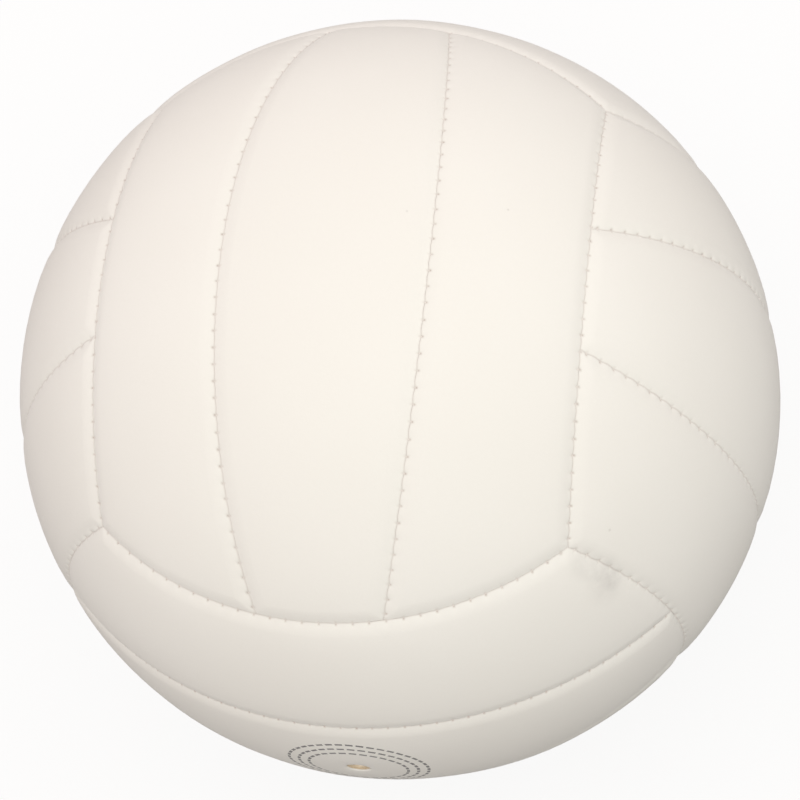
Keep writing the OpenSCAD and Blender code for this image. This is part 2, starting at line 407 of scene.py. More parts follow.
def lay_on_sphere(x, y, outer, half, across):
    """Direction from the ball's centre of each vertex of a blank."""
    n1, c1 = planes_between(x, half[0], *across, outer)
    n2, c2 = planes_between(y, half[1], *END_SEAMS, outer)
    g = np.sum(n1 * n2, axis=1)
    det = 1 - g * g
    base = ((c1 - g * c2) / det)[:, None] * n1 + ((c2 - g * c1) / det)[:, None] * n2
    rise = np.sqrt(np.clip(1 - np.sum(base * base, axis=1), 0, None) / det)[:, None]
    cross = np.cross(n1, n2)
    cross *= np.sign(cross[:, 2:3])
    return base + rise * cross


# %% [markdown]
# ## How a panel swells between its seams
#
# The bladder presses the foam and leather outwards, and only the seams hold
# them. How such a sheet swells is best asked of a cloth simulation: a coarse
# sheet of each strip is pinned along its seams and pressed from inside, with no
# gravity. Cloth settings suit things the size of clothes, so it is simulated
# ten times as large. Its heights are read between its points with a smooth
# curve, and a good half of them is used: the foam takes up the rest.

# %% Cloth simulation on a coarse sheet
SWELL_COLS, SWELL_ROWS = 14, 44     # faces of the coarse sheet
SWELL_FRAMES = 20
SWELL_SCALE = 10
SWELL_SHARE = 0.55
PROUD = 0.1 * MM           # how far the fullest panel stands out of the CAD ball


def swell(width, across):
    """Presses a pinned sheet outwards and returns how far it rose, row by row."""
    bpy.ops.object.select_all(action="DESELECT")
    bpy.ops.mesh.primitive_grid_add(x_subdivisions=SWELL_COLS, y_subdivisions=SWELL_ROWS, size=2)
    sheet = bpy.context.object
    flat = np.empty(len(sheet.data.vertices) * 3)
    sheet.data.vertices.foreach_get("co", flat)
    x, y, _ = flat.reshape(-1, 3).T
    half = (width / 2, BLANK_LEN / 2)
    start = lay_on_sphere(x * half[0], y * half[1], np.zeros(len(x), bool), half, across)
    sheet.data.vertices.foreach_set("co", (start * BALL_R * SWELL_SCALE).ravel())
    sheet.data.update()
    border = np.flatnonzero(np.maximum(np.abs(x), np.abs(y)) > 0.999)
    sewn = sheet.vertex_groups.new(name="sewn")
    sewn.add([int(i) for i in border], 1.0, "REPLACE")
    cloth = sheet.modifiers.new("pressed_out", "CLOTH")
    settings = cloth.settings
    settings.quality = 8
    settings.bending_stiffness = 0.5
    settings.air_damping = 2
    settings.use_pressure = True
    settings.uniform_pressure_force = 4
    settings.vertex_group_mass = sewn.name
    settings.effector_weights.gravity = 0
    cloth.collision_settings.use_collision = False
    cloth.point_cache.frame_end = SWELL_FRAMES
    for frame_no in range(1, SWELL_FRAMES + 1):
        bpy.context.scene.frame_set(frame_no)
    bpy.ops.object.modifier_apply(modifier=cloth.name)
    end = np.empty(len(flat))
    sheet.data.vertices.foreach_get("co", end)
    height = np.linalg.norm(end.reshape(-1, 3), axis=1) / SWELL_SCALE - BALL_R
    bpy.data.objects.remove(sheet)
    bpy.context.scene.frame_set(1)
    print("the sheet rose by", round(height.max() / MM, 3), "mm, after", SWELL_FRAMES, "frames")
    return np.clip(height[np.lexsort((x, y))], 0, None).reshape(SWELL_ROWS + 1, SWELL_COLS + 1)


def curve_weights(t):
    """Weights of four neighbouring values on a smooth curve, at t between the middle two."""
    return (1 - t) ** 3 / 6, (3 * t ** 3 - 6 * t ** 2 + 4) / 6, (3 * t * (1 + t - t * t) + 1) / 6, t ** 3 / 6


def read_swelling(grid, x, y):
    """Height of the swelling at places from -1 to 1 over the strip."""
    col = np.clip((x + 1) / 2, 0, 1) * SWELL_COLS
    row = np.clip((y + 1) / 2, 0, 1) * SWELL_ROWS
    i, j = np.minimum(col.astype(int), SWELL_COLS - 1), np.minimum(row.astype(int), SWELL_ROWS - 1)
    wide = np.pad(grid, 1, mode="reflect", reflect_type="odd")
    return sum(wv * wu * wide[j + b, i + a]
               for b, wv in enumerate(curve_weights(row - j)) for a, wu in enumerate(curve_weights(col - i)))


middle_swelling = SWELL_SHARE * swell(STRIP_W, MIDDLE_SEAMS)
side_swelling = SWELL_SHARE * swell(side_strip["width"], SIDE_SEAMS)
CROWN = max(middle_swelling.max(), side_swelling.max()) - PROUD

# %% [markdown]
# ## The sewn edge
#
# Along a seam the leather rolls down over the foam and meets its neighbour in a
# tight lip. At each stitch the thread nips the lip, and between the stitches it
# puffs up a little. The needle's holes are pulled wide open on one side of the
# seam and nearly closed on the other. This could be sculpted by hand, but it
# repeats hundreds of times, so each move of the leather is a small formula of
# the distances from the seam and from the nearest stitch.

# %% The profile of a sewn edge
ROLL_DEPTH, ROLL_W = 1.3 * MM, 3.4 * MM     # of the inner side
ROLL_R = (ROLL_W ** 2 + ROLL_DEPTH ** 2) / (2 * ROLL_DEPTH)
LIP_DEPTH, LIP_W = 0.95 * MM, 2.3 * MM      # of the outer side
LIP_POWER = 1.25           # nearer to 1 makes the lip tighter at the seam
NIP_DEPTH, NIP_LEN, NIP_W = 0.15 * MM, 0.40 * MM, 0.6 * MM      # at each stitch
PUFF, PUFF_W = 0.04 * MM, 2.0 * MM          # up between the stitches, down at them
PIT_DEPTH, PIT_R, PIT_PLACE = 0.16 * MM, 0.27 * MM, 0.42 * MM   # the needle's hole, from the seam
PIT_SHADE, LINE_SHADE, LINE_W = 0.65, 0.24, 0.22 * MM           # painted shade in the hole and along the seam


def bump(distance, width):
    return np.exp(-(distance / width) ** 2)


def inner_roll(d):
    """Depth at distance d from the seam of the skin's inner side, which lies on the foam."""
    side = np.clip(ROLL_W - d, 0, ROLL_W)
    return ROLL_R - np.sqrt((ROLL_R - SKIN) ** 2 - side ** 2)


def sewn_edge(seam, p, hole):
    """Depth below the ball of the outer side near one seam, and the shade painted there.

    hole is 1 where the thread has pulled the needle's holes wide open, and less where they closed."""
    d = np.clip(from_seam(seam, p), 0, None)
    off, strength = nearest_stitch(seam["kind"], along_seam(seam, p))
    rolled = LIP_DEPTH * np.exp(-(d / LIP_W) ** LIP_POWER)
    nip = NIP_DEPTH * strength * bump(off, NIP_LEN) * bump(d, NIP_W)
    puff = PUFF * np.cos(2 * math.pi * off / PITCH[seam["kind"]]) * bump(d, PUFF_W)
    pit = hole * strength * bump(np.hypot(off, d - PIT_PLACE), PIT_R)
    # Painted shade: darkens the needle's hole and a thin line along the seam, where these hollows would shade
    shade = PIT_SHADE * pit + LINE_SHADE * bump(d, LINE_W)
    return rolled + nip + puff + PIT_DEPTH * pit, np.clip(shade, 0, 1)


# %% The leaning lips and the dip round the valve
LEAN_W = 1.3 * MM                           # how far from the seam the lips lean
DIP, DIP_W = 0.22 * MM, 2.4 * MM            # where the patch holds the leather round the valve
HOLE_ROLL, HOLE_ROLL_W = 0.35 * MM, 0.5 * MM    # the rounded edge of the valve's hole


def lip_lean(seam, p, z, under):
    """Sideways move of a lip, most at the ball's surface and none at its lower edge."""
    inward = seam["axis"] - (p @ seam["axis"])[:, None] * p
    inward /= np.linalg.norm(inward, axis=1)[:, None]
    sway = lip_sway(seam["kind"], along_seam(seam, p)) * bump(from_seam(seam, p), LEAN_W)
    sway = sway * np.clip(1 + z / WALL_STEPS[-1], 0, 1) * np.where(under, 0, 1)
    return inward * (seam["sway"] * sway / BALL_R)[:, None]


def valve_dip(p):
    """Depth of the leather round the valve's hole."""
    ring = BALL_R * np.hypot(p[:, 0], p[:, 1]) - VALVE_HOLE_R
    return DIP * bump(ring, DIP_W) + HOLE_ROLL * np.clip(1 - ring / HOLE_ROLL_W, 0, 1) ** 2


# %% A blank laid over the ball
ROUND_CORNER, ROUND_INSIDE = 5, 6   # more makes a sharper crease where two seams meet
LEAST_SKIN, SKIN_EASE = 0.06 * MM, 0.08 * MM    # least skin over the foam, reached gradually
FLAT_RIM, FADE_W = 0.5 * MM, 4 * MM         # where unevenness starts, and how far it fades in


def deepest(depths, power):
    """The deepest of several depths, rounded off where two are alike."""
    return np.sum(depths ** power, axis=0) ** (1 / power)


def mark_outside(obj, outer, shade, inset):
    """Stores the seams' painted shade, and a vertex group of the outer side that fades out towards them."""
    mark = obj.data.attributes.new("seam_shade", "FLOAT", "POINT")
    mark.data.foreach_set("value", np.where(outer, shade, 0.0).astype(np.float32))
    group = obj.vertex_groups.new(name="outside")
    weight = np.clip((inset - FLAT_RIM) / FADE_W, 0, 1)
    for i in np.flatnonzero(outer & (weight > 0)):
        group.add([int(i)], float(weight[i]), "REPLACE")


def lay_blank(obj, across, swelling, holes, centre_hole=False):
    """Moves every vertex of a flat blank to its place on the ball; one hole value for each seam."""
    co = np.empty(len(obj.data.vertices) * 3)
    obj.data.vertices.foreach_get("co", co)
    x, y, z = co.reshape(-1, 3).T
    half = (obj["width"] / 2, BLANK_LEN / 2)
    outer, under = z > -NEAR, np.abs(z + SKIN) < NEAR
    p = lay_on_sphere(x, y, outer, half, across)
    seams = (*across, *END_SEAMS)
    depths, shades = zip(*[sewn_edge(seam, p, hole) for seam, hole in zip(seams, holes)])
    inner_depths = np.array([inner_roll(from_seam(seam, p)) for seam in seams])
    depth = deepest(np.array(depths), ROUND_CORNER) + CROWN
    depth -= read_swelling(swelling, x / half[0], y / half[1])
    if centre_hole:
        depth += valve_dip(p)
    room = np.max(inner_depths, axis=0) - LEAST_SKIN - depth
    depth += (room - np.hypot(room, SKIN_EASE)) / 2
    inner = SKIN + deepest(inner_depths - SKIN, ROUND_INSIDE)
    radius = BALL_R + np.where(outer, -depth, np.where(under, -inner, z))
    p = p + sum(lip_lean(seam, p, z, under) for seam in seams)
    p /= np.linalg.norm(p, axis=1)[:, None]
    obj.data.vertices.foreach_set("co", (p * radius[:, None]).ravel())
    mark_outside(obj, outer, np.max(shades, axis=0), np.min([from_seam(seam, p) for seam in seams], axis=0))
    obj.data.update()
    print(obj.name, "laid: radius from", round(radius.min() / MM, 2), "to", round(radius.max() / MM, 2), "mm")


# %% [markdown]
# ## Seven strips to copy from
#
# Which side of a seam has the wide holes depends on how the thread was pulled,
# and differs from face to face. So each pair of opposite faces gets a middle
# strip and an outer strip of its own, laid from the same two blanks. The
# seventh is the strip with the valve, whose seams show the widest holes.

# %% The strips, laid over the face on +Z
WIDEST, WIDE, HALF_OPEN, SHUT = 1.3, 1.0, 0.6, 0.3      # how far the needle's holes are open
# Beside the middle strip on its own side and on the outer strip's, at the outer seam, at the ends
OPEN_HOLES = [
    (SHUT, WIDE, SHUT, SHUT),           # top and bottom
    (SHUT, WIDE, HALF_OPEN, WIDE),      # right and left
    (WIDE, SHUT, WIDE, SHUT),           # front and back
]


def duplicate(obj, name):
    """A copy of a piece with its own mesh, selected and active."""
    show_only(obj)
    bpy.ops.object.duplicate()
    copy = bpy.context.object
    copy.name = copy.data.name = name
    return copy


middle_masters, side_masters = [], []
for number, (inner, beside, outside, end) in enumerate(OPEN_HOLES):
    middle_masters.append(duplicate(middle_strip, f"middle_{number}"))
    lay_blank(middle_masters[-1], MIDDLE_SEAMS, middle_swelling, (inner, inner, end, end))
    side_masters.append(duplicate(side_strip, f"side_{number}"))
    lay_blank(side_masters[-1], SIDE_SEAMS, side_swelling, (beside, outside, end, end))
lay_blank(valve_strip, MIDDLE_SEAMS, middle_swelling, (WIDEST, WIDEST, SHUT, SHUT), centre_hole=True)

# %% [markdown]
# ## Eighteen panels from seven
#
# The eighteen panels are copies of these seven, turned to their faces. Each has
# a mesh of its own, so its place can be applied to it, and a shallow
# displacement from one cloud texture makes it a little uneven. The
# displacement fades out towards the seams, so that no seam opens.

# %% Copies in place
FACES = [("top", 0, 0), ("bottom", 0, 1), ("right", 1, 0), ("left", 1, 1), ("back", 2, 0), ("front", 2, 1)]
STRIPS = [("left", "middle", "right"), ("front", "middle", "back"), ("lower", "middle", "upper")]
clouds = bpy.data.textures.new("soft_unevenness", "CLOUDS")
clouds.noise_scale = 0.034
clouds.noise_depth = 1


def face_turn(third, far):
    """Turns what is built on +Z to its face."""
    return Matrix.Rotation(math.radians(120 * third), 4, (1, 1, 1)) @ Matrix.Rotation(math.pi * far, 4, "X")


def copy_in_place(master, name, turn):
    """A copy of a piece with its own mesh, turned to its place."""
    obj = duplicate(master, name)
    obj.matrix_world = turn
    bpy.ops.object.transform_apply()
    return obj


def make_uneven(panel):
    soft = panel.modifiers.new("unevenness", "DISPLACE")
    soft.texture = clouds
    soft.texture_coords = "LOCAL"
    soft.vertex_group = "outside"
    soft.mid_level = 0.5
    soft.strength = 0.3 * MM
    bpy.ops.object.modifier_apply(modifier=soft.name)


panels = {}
for face, third, far in FACES:
    for strip, strip_name in zip((-1, 0, 1), STRIPS[third]):
        master = side_masters[third] if strip else middle_masters[third]
        if (face, strip_name) == ("front", "middle"):
            master = valve_strip
        turn = face_turn(third, far) @ Matrix.Rotation(math.pi if strip < 0 else 0, 4, "Z")
        panel = copy_in_place(master, f"{face}_{strip_name}_panel", turn)
        make_uneven(panel)
        bpy.ops.object.shade_smooth()
        panels[f"{face}_{strip_name}"] = panel
for master in (middle_strip, valve_strip, side_strip, *middle_masters, *side_masters):
    bpy.data.objects.remove(master)
print("panels:", len(panels), "with", sum(len(p.data.polygons) for p in panels.values()), "faces")

# %% What the panels are, for the frame
for name, panel in panels.items():
    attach(panel, "root")
    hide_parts(f"{name}_cover")
print("padded panels in place of covers:", len(panels))

# %% [markdown]
# ## The stitches
#
# What one sees of the sewing is a short bar of thread across the line where
# two lips meet, with each end pulled down into a pit. There are hundreds, so
# one is modelled with few faces: a six-sided ring, extruded across the seam in
# five steps and bent down at both ends. It is then copied to every stitch. A
# bevelled curve would look the same, but each copy would cost more faces.

# %% One stitch, across X and with the ball's surface at Z = 0
THREAD_R = 0.18 * MM
STITCH_X = [-0.62, -0.46, -0.2, 0.2, 0.46, 0.62]        # in mm across the seam
STITCH_Z = [-2.05, -1.62, -1.34, -1.34, -1.62, -2.05]   # in mm below the ball's surface

bpy.ops.object.select_all(action="DESELECT")
bpy.ops.mesh.primitive_circle_add(vertices=6, radius=THREAD_R, fill_type="NGON",
                                  location=(STITCH_X[0] * MM, 0, STITCH_Z[0] * MM),
                                  rotation=(0, math.pi / 2, 0))
stitch = bpy.context.object
stitch.name = stitch.data.name = "stitch"
bpy.ops.object.transform_apply()
bpy.ops.object.mode_set(mode="EDIT")
bpy.ops.mesh.select_mode(type="FACE")
bpy.ops.mesh.select_all(action="SELECT")
for k in range(1, len(STITCH_X)):
    step = ((STITCH_X[k] - STITCH_X[k - 1]) * MM, 0, (STITCH_Z[k] - STITCH_Z[k - 1]) * MM)
    bpy.ops.mesh.extrude_region_move(TRANSFORM_OT_translate={"value": step})
bpy.ops.mesh.select_all(action="SELECT")
bpy.ops.mesh.normals_make_consistent()
bpy.ops.object.mode_set(mode="OBJECT")
stitch_faces = len(stitch.data.polygons)
print("one stitch:", len(stitch.data.vertices), "vertices,", stitch_faces, "faces")


# %% A row of stitches along a seam
def stitch_places(seam):
    """Turn and place of every stitch along a seam."""
    kind = seam["kind"]
    places = []
    for s, _, skew in zip(*stitch_at(kind, np.arange(STITCHES[kind]))):
        turn = s / (BALL_R * math.sin(seam["angle"]))
        p = math.cos(seam["angle"]) * seam["axis"] + math.sin(seam["angle"]) * (
            math.cos(turn) * seam["middle"] + math.sin(turn) * seam["along"])
        across = unit(seam["axis"] - p.dot(seam["axis"]) * p)
        p = unit(p + across * seam["sway"] * lip_sway(kind, np.array([s]))[0] / BALL_R)
        tilt = math.radians(skew)
        x = math.cos(tilt) * across + math.sin(tilt) * np.cross(p, across)
        places.append((np.array([x, np.cross(p, x), p]).T, p * BALL_R))
    return places


def stitch_row(name, seam):
    """One mesh with a stitch at each place."""
    base = np.array([v.co for v in stitch.data.vertices])
    faces = [tuple(f.vertices) for f in stitch.data.polygons]
    verts, polys = [], []
    for k, (turn, place) in enumerate(stitch_places(seam)):
        verts.extend((base @ turn.T + place).tolist())
        polys.extend([tuple(i + k * len(base) for i in f) for f in faces])
    mesh = bpy.data.meshes.new(name)
    mesh.from_pydata(verts, [], polys)
    obj = bpy.data.objects.new(name, mesh)
    bpy.context.scene.collection.objects.link(obj)
    return obj


# %% The rows round the ball, joined
rows = [stitch_row("strip_row", MIDDLE_SEAMS[1]), stitch_row("edge_row", END_SEAMS[0])]
copies = []
for face, third, far in FACES:
    for half in (0, 1):
        turn = face_turn(third, far) @ Matrix.Rotation(math.pi * half, 4, "Z")
        copies += [copy_in_place(row, f"{row.name}_{face}_{half}", turn) for row in rows]
for extra in (*rows, stitch):
    bpy.data.objects.remove(extra)
bpy.ops.object.select_all(action="DESELECT")
for obj in copies:
    obj.select_set(True)
bpy.context.view_layer.objects.active = copies[0]
bpy.ops.object.join()
stitches = bpy.context.object
stitches.name = stitches.data.name = "seam_stitches"
bpy.ops.object.shade_smooth()
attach(stitches, "root")
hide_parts("seam_thread")
print("stitches:", len(stitches.data.polygons) // stitch_faces, "with", len(stitches.data.polygons), "faces")

# %% [markdown]
# ## Finishes
#
# An image of leather would need unwrapped panels and would repeat. So all
# patterns are procedural and read the object's own coordinates in metres: a
# noise scale of 1000 has features about a millimetre across.

# %% Helpers for node materials
def new_material(name, base, roughness, specular=0.4, **fixed):
    """A Principled material whose plain values are set on the shader's own sockets."""
    mat = bpy.data.materials.new(name)
    mat.use_nodes = True
    shader = mat.node_tree.nodes["Principled BSDF"]
    shader.inputs["Base Color"].default_value = (*base, 1)
    shader.inputs["Roughness"].default_value = roughness
    shader.inputs["Specular IOR Level"].default_value = specular
    for key, value in fixed.items():
        shader.inputs[key.replace("_", " ")].default_value = value
    mat.diffuse_color = (*base, 1)
    return mat, mat.node_tree, shader


def add(tree, kind, **values):
    """A node with some of its settings or input values set."""
    node = tree.nodes.new(kind)
    for key, value in values.items():
        if hasattr(node, key):
            setattr(node, key, value)
        else:
            node.inputs[key.replace("_", " ")].default_value = value
    return node


def feed(tree, socket, value):
    """Links another node's output to a socket, or sets the socket to a number or colour."""
    if isinstance(value, bpy.types.NodeSocket):
        tree.links.new(value, socket)
    else:
        socket.default_value = (*value, 1) if isinstance(value, tuple) else value


def object_place(tree):
    return add(tree, "ShaderNodeTexCoord").outputs["Object"]


def object_noise(tree, scale, detail=2.0, roughness=0.5):
    noise = add(tree, "ShaderNodeTexNoise", Scale=scale, Detail=detail, Roughness=roughness)
    tree.links.new(object_place(tree), noise.inputs["Vector"])
    return noise.outputs["Fac"]


def ramp(tree, source, stops):
    """A colour ramp from pairs of place and colour."""
    node = add(tree, "ShaderNodeValToRGB")
    tree.links.new(source, node.inputs["Fac"])
    for stop, (place, colour) in zip(node.color_ramp.elements, stops):
        stop.position = place
        stop.color = (*colour, 1)
    return node.outputs["Color"]


def rescale(tree, source, from_low, from_high, low, high, **settings):
    """Maps one range of a value to another."""
    node = add(tree, "ShaderNodeMapRange", From_Min=from_low, From_Max=from_high, To_Min=low, To_Max=high,
               **settings)
    tree.links.new(source, node.inputs["Value"])
    return node.outputs["Result"]


def mix(tree, factor, a, b):
    """Mixes two colours by a factor; the node's colour sockets come after those for other kinds."""
    node = add(tree, "ShaderNodeMix", data_type="RGBA")
    for place, value in ((0, factor), (6, a), (7, b)):
        feed(tree, node.inputs[place], value)
    return node.outputs[2]


def math_node(tree, operation, a, b=0.0):
    node = add(tree, "ShaderNodeMath", operation=operation)
    feed(tree, node.inputs[0], a)
    feed(tree, node.inputs[1], b)
    return node.outputs[0]


def bump_node(tree, shader, height, strength, distance):
    node = add(tree, "ShaderNodeBump", Strength=strength, Distance=distance)
    tree.links.new(height, node.inputs["Height"])
    tree.links.new(node.outputs["Normal"], shader.inputs["Normal"])


# %% [markdown]
# ## Small marks on the leather
#
# The ball has a grey rub near one corner, a few dark specks, and three plain
# rings of dashes round the valve. They could be painted on, but a mark that
# depends on the distance from a place needs no image and stays sharp.

# %% Rub marks, specks and dashed rings
# Direction from the ball's centre, radius in mm and strength of each soft spot
SMUDGE = [((0.668, -0.606, 0.432), 4.0, 0.75), ((0.645, -0.600, 0.473), 6.5, 0.55),
          ((0.655, -0.618, 0.435), 8.0, 0.40), ((0.608, -0.598, 0.522), 6.0, 0.50)]
SPECKS = [((0.189, 0.100, 0.977), 0.5, 0.22), ((0.412, 0.143, 0.900), 0.5, 0.22),
          ((0.663, -0.516, 0.543), 0.6, 0.22)]
VALVE_RING_R = {13.3: 30, 16.0: 36, 18.7: 42}       # radius in mm and number of dashes
DASH_W, DASH_SHARE, DASH_INK = 0.8 * MM, 0.72, 0.85  # width, share of the turn, strength
RUB_GREY, SPECK_BROWN, INK = (0.50, 0.49, 0.48), (0.35, 0.33, 0.31), (0.10, 0.10, 0.11)
SPOT_CORE = 0.2            # share of a spot's radius that has its full strength


def spots(tree, places, join):
    """Round soft-edged marks about places on the ball, added up or each by itself."""
    total = 0.0
    for place, radius, strength in places:
        gap = add(tree, "ShaderNodeVectorMath", operation="DISTANCE")
        tree.links.new(object_place(tree), gap.inputs[0])
        gap.inputs[1].default_value = [BALL_R * c for c in place]
        fade = rescale(tree, gap.outputs["Value"], SPOT_CORE * radius * MM, radius * MM, 1.0, 0.0,
                       interpolation_type="SMOOTHSTEP")
        total = math_node(tree, join, total, math_node(tree, "MULTIPLY", fade, strength))
    return total


def smudge(tree, tone):
    """A faint grey rub mark, broken up by noise."""
    patchy = rescale(tree, object_noise(tree, 300, 4, 0.6), 0.3, 0.7, 0.14, 0.42)
    rubbed = math_node(tree, "MULTIPLY", spots(tree, SMUDGE, "ADD"), patchy)
    return mix(tree, rubbed, tone, RUB_GREY)


def specks(tree, tone):
    return mix(tree, spots(tree, SPECKS, "MAXIMUM"), tone, SPECK_BROWN)


def dashes_round_valve(tree, tone):
    """Three plain dashed rings round the valve's hole, by radius and angle seen from the front."""
    parts = add(tree, "ShaderNodeSeparateXYZ")
    tree.links.new(object_place(tree), parts.inputs[0])
    flat = add(tree, "ShaderNodeVectorMath", operation="MULTIPLY")
    tree.links.new(object_place(tree), flat.inputs[0])
    flat.inputs[1].default_value = (1, 0, 1)
    length = add(tree, "ShaderNodeVectorMath", operation="LENGTH")
    tree.links.new(flat.outputs["Vector"], length.inputs[0])
    angle = math_node(tree, "ARCTAN2", parts.outputs["X"], parts.outputs["Z"])
    printed = 0.0
    for radius, count in VALVE_RING_R.items():
        off = math_node(tree, "ABSOLUTE", math_node(tree, "SUBTRACT", length.outputs["Value"], radius * MM))
        on_ring = math_node(tree, "LESS_THAN", off, DASH_W / 2)
        turn = math_node(tree, "FRACT", math_node(tree, "MULTIPLY", angle, count / (2 * math.pi)))
        dash = math_node(tree, "MULTIPLY", on_ring, math_node(tree, "LESS_THAN", turn, DASH_SHARE))
        printed = math_node(tree, "MAXIMUM", printed, dash)
    return mix(tree, math_node(tree, "MULTIPLY", printed, DASH_INK), tone, INK)


print("rubs:", len(SMUDGE), "specks:", len(SPECKS), "rings:", len(VALVE_RING_R))

# %% [markdown]
# ## Soft leather
#
# The synthetic leather is almost white and half matt. A flat white would look
# like plaster, so its tone drifts a little, it has faint flecks, and a shallow
# grain much finer than a millimetre breaks up its gloss. The attribute that was
# stored with the sewn edge paints shade into the holes and the line between the lips.

# %% Leather of the panels
LEATHER, LEATHER_LOW, LEATHER_HIGH = (0.86, 0.85, 0.82), (0.855, 0.847, 0.815), (0.875, 0.870, 0.842)
FLECK, FLECK_SHARE = (0.72, 0.69, 0.65), 0.10
# Colour of the painted shade in the needle's holes and along the line between the lips
SEAM_PAINTED_SHADE = (0.46, 0.37, 0.33)


def leather(name, *marks):
    mat, tree, shader = new_material(name, LEATHER, 0.55, 0.35, Sheen_Weight=0.12, Sheen_Roughness=0.5)
    tone = ramp(tree, object_noise(tree, 16), [(0.3, LEATHER_LOW), (0.7, LEATHER_HIGH)])
    tone = mix(tree, math_node(tree, "MULTIPLY", object_noise(tree, 1300, 3), FLECK_SHARE), tone, FLECK)
    for mark in marks:
        tone = mark(tree, tone)
    # Painted shade from the sewn edge's attribute darkens the holes and the line between the lips
    painted_seam_shade = add(tree, "ShaderNodeAttribute", attribute_name="seam_shade")
    tone = mix(tree, painted_seam_shade.outputs["Fac"], tone, SEAM_PAINTED_SHADE)
    tree.links.new(tone, shader.inputs["Base Color"])
    rough = rescale(tree, object_noise(tree, 700), 0.3, 0.7, 0.5, 0.62)
    tree.links.new(rough, shader.inputs["Roughness"])
    pebble = add(tree, "ShaderNodeTexVoronoi", Scale=1500.0)
    tree.links.new(object_place(tree), pebble.inputs["Vector"])
    pebbles = math_node(tree, "MULTIPLY", pebble.outputs["Distance"], 0.6)
    bump_node(tree, shader, math_node(tree, "ADD", pebbles, object_noise(tree, 2600)), 0.35, 0.04 * MM)
    return mat


plain_leather = leather("soft_white_leather")
used_leather = leather("rubbed_white_leather", smudge, specks)
valve_leather = leather("valve_panel_leather", dashes_round_valve)
used_panels = ("front_upper", "top_middle", "top_right", "right_front")
for name, panel in panels.items():
    finish = used_leather if name in used_panels else plain_leather
    panel.data.materials.append(valve_leather if name == "front_middle" else finish)
print("panels with marks:", len(used_panels) + 1)

# %% [markdown]
# ## Thread, and what lies under the leather
#
# The CAD pieces that stay are already right in shape, and of them only the
# valve shows. But the ball may be opened in another picture, so each piece gets
# the finish of its stuff: foam, woven cloth, black or tan rubber.

# %% Thread, rubber, foam and cloth
BAND_WIDTH = math.pi / 10  # of one band of a wave texture whose scale is 1


def speckled(name, dark, light, scale, roughness, bump_scale, bump_depth):
    """An even stuff with a fine mottle in its tone and surface; the bump's depth is in mm."""
    mat, tree, shader = new_material(name, light, roughness, 0.3)
    tone = ramp(tree, object_noise(tree, scale, 3), [(0.3, dark), (0.7, light)])
    tree.links.new(tone, shader.inputs["Base Color"])
    bump_node(tree, shader, object_noise(tree, bump_scale), 0.6, bump_depth * MM)
    return mat


def cloth(name, dark, light, threads_per_mm):
    """A plain weave from two crossed waves of bands."""
    mat, tree, shader = new_material(name, light, 0.85, 0.15)
    waves = []
    for axis in ("X", "Z"):
        wave = add(tree, "ShaderNodeTexWave", wave_type="BANDS", bands_direction=axis,
                   Scale=BAND_WIDTH * threads_per_mm / MM, Distortion=0.6, Detail=1.0)
        tree.links.new(object_place(tree), wave.inputs["Vector"])
        waves.append(wave.outputs["Fac"])
    weave = math_node(tree, "MULTIPLY", math_node(tree, "ADD", *waves), 0.5)
    tree.links.new(ramp(tree, weave, [(0.2, dark), (0.8, light)]), shader.inputs["Base Color"])
    bump_node(tree, shader, weave, 0.7, 0.08 * MM)
    return mat


# Dark and light tone, the mottle's scale, the roughness, and the bump's scale and depth
FINISH = {
    "foam": speckled("foam_sheet", (0.62, 0.60, 0.50), (0.80, 0.78, 0.66), 900, 0.9, 1400, 0.2),
    "lining": cloth("lining_cloth", (0.42, 0.44, 0.47), (0.66, 0.68, 0.70), 1.1151),
    "patch": cloth("patch_cloth", (0.20, 0.22, 0.26), (0.38, 0.41, 0.46), 0.91235),
    "bladder": speckled("bladder_rubber", (0.020, 0.020, 0.021), (0.045, 0.044, 0.043), 60, 0.55, 500, 0.1),
    "valve_rubber": speckled("valve_rubber", (0.68, 0.55, 0.39), (0.79, 0.67, 0.50), 700, 0.5, 1800, 0.03),
    "core_rubber": speckled("core_rubber", (0.74, 0.62, 0.46), (0.84, 0.74, 0.58), 800, 0.45, 2000, 0.03),
}
THREAD = speckled("sewing_thread", (0.74, 0.69, 0.65), (0.86, 0.82, 0.79), 2500, 0.75, 4000, 0.03)
stitches.data.materials.append(THREAD)
print("finishes of other stuffs:", len(FINISH) + 1)


# %% Finishes on the CAD pieces that stay
def slot_of(name):
    """The record's slot for a CAD piece, or nothing where a new piece stands for it."""
    for ending, slot in (("_foam", "foam"), ("_lining", "lining")):
        if name.endswith(ending):
            return slot
    return {"bladder": "bladder", "valve_housing": "valve_rubber", "valve_core": "core_rubber",
            "valve_patch": "patch"}.get(name)


finished = 0
for name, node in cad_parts.items():
    slot = slot_of(name)
    if slot:
        if not node.material_slots:
            node.data.materials.append(None)
        for held in node.material_slots:
            held.material = FINISH[slot]
        finished += 1
print("CAD pieces with a finish:", finished)

# %% [markdown]
# ## Floor and light
#
# The photograph is a cut-out on white. Camera rays see a white world, and a
# floor that is white enough to join it but keeps a soft shadow of the ball. All
# other rays find the floor dark, so that the ball's lower side shades off.
#
# A single large lamp would leave one side too dark. Here most of the light
# comes from the world all round, as in a light tent, and two soft lamps at the
# right and in front lift the brightest places. The world is a little pink and
# the lamps a little green, so that where both reach the leather is a warm
# white. They are kept low enough for it to stay just under white.

# %% Floor
FLOOR_SIZE = 6
FLOOR_SEEN, FLOOR_LIT, FLOOR_LIFT = (0.9, 0.9, 0.9), (0.15, 0.15, 0.15), 0.85


def empty_tree(owner):
    """The node tree of a material or world, with nothing in it yet."""
    owner.use_nodes = True
    owner.node_tree.nodes.clear()
    return owner.node_tree


